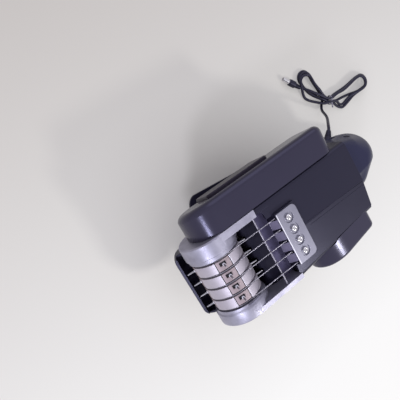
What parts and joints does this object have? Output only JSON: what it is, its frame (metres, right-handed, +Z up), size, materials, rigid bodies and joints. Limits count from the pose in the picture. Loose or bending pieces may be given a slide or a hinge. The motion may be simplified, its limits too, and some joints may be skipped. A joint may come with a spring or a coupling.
{
  "type": "handheld cotton picker",
  "caption": "Handheld electric cotton picker: a drum of spiked rings with guard wires in a silver head, black housing with a bag hood below, a grip behind and a tied power lead",
  "frame": {"origin": "on the ground under the middle of the tool's bounding box, power lead left out", "axes": "X runs forward to the picking drum, Y to the left, Z up; the drum turns about Y"},
  "size_m": [0.3793, 0.1823, 0.1274],
  "materials": {
    "housing_plastic": "satin",
    "grip_plastic": "satin",
    "gloss_black": "polished",
    "cast_silver": "satin",
    "ring_silver": "satin",
    "tooth_metal": "satin",
    "bright_wire": "bright",
    "plate_metal": "satin",
    "bolt_chrome": "bright",
    "dark_core": "matte",
    "motor_steel": "satin",
    "lead_rubber": "satin",
    "tie_plastic": "satin"
  },
  "bodies": {
    "tool": {"housing_left": "housing_plastic", "housing_right": "housing_plastic", "hood_left": "housing_plastic", "hood_right": "housing_plastic", "shroud_left": "housing_plastic", "shroud_right": "housing_plastic", "stripper_sheet": "housing_plastic", "grip_left": "grip_plastic", "grip_right": "grip_plastic", "grip_cap": "grip_plastic", "grip_knob": "grip_plastic", "cheek_left": "cast_silver", "cheek_right": "cast_silver", "cross_rod": "bright_wire", "guard_wires": "bright_wire", "tension_plate": "plate_metal", "tension_bolt_1": "bolt_chrome", "tension_bolt_2": "bolt_chrome", "tension_bolt_3": "bolt_chrome", "tension_bolt_4": "bolt_chrome", "gear_cover": "housing_plastic", "gear_cover_panel": "gloss_black", "motor_cover": "housing_plastic", "motor": "motor_steel", "hood_latch": "housing_plastic", "lead_gland": "lead_rubber", "lead": "lead_rubber", "lead_bundle": "lead_rubber", "lead_tie": "tie_plastic", "lead_plug": "lead_rubber"},
    "drum": {"drum_core": "dark_core", "ring_1": "ring_silver", "ring_2": "ring_silver", "ring_3": "ring_silver", "ring_4": "ring_silver", "tooth_plates_1": "tooth_metal", "tooth_plates_2": "tooth_metal", "tooth_plates_3": "tooth_metal", "tooth_plates_4": "tooth_metal"}
  },
  "joints": [
    {"name": "drum_spin", "type": "hinge", "parent": "tool", "child": "drum", "pos_m": [0.11392, 0.0058, 0.096], "axis": [0, 1, 0], "continuous": true}
  ]
}
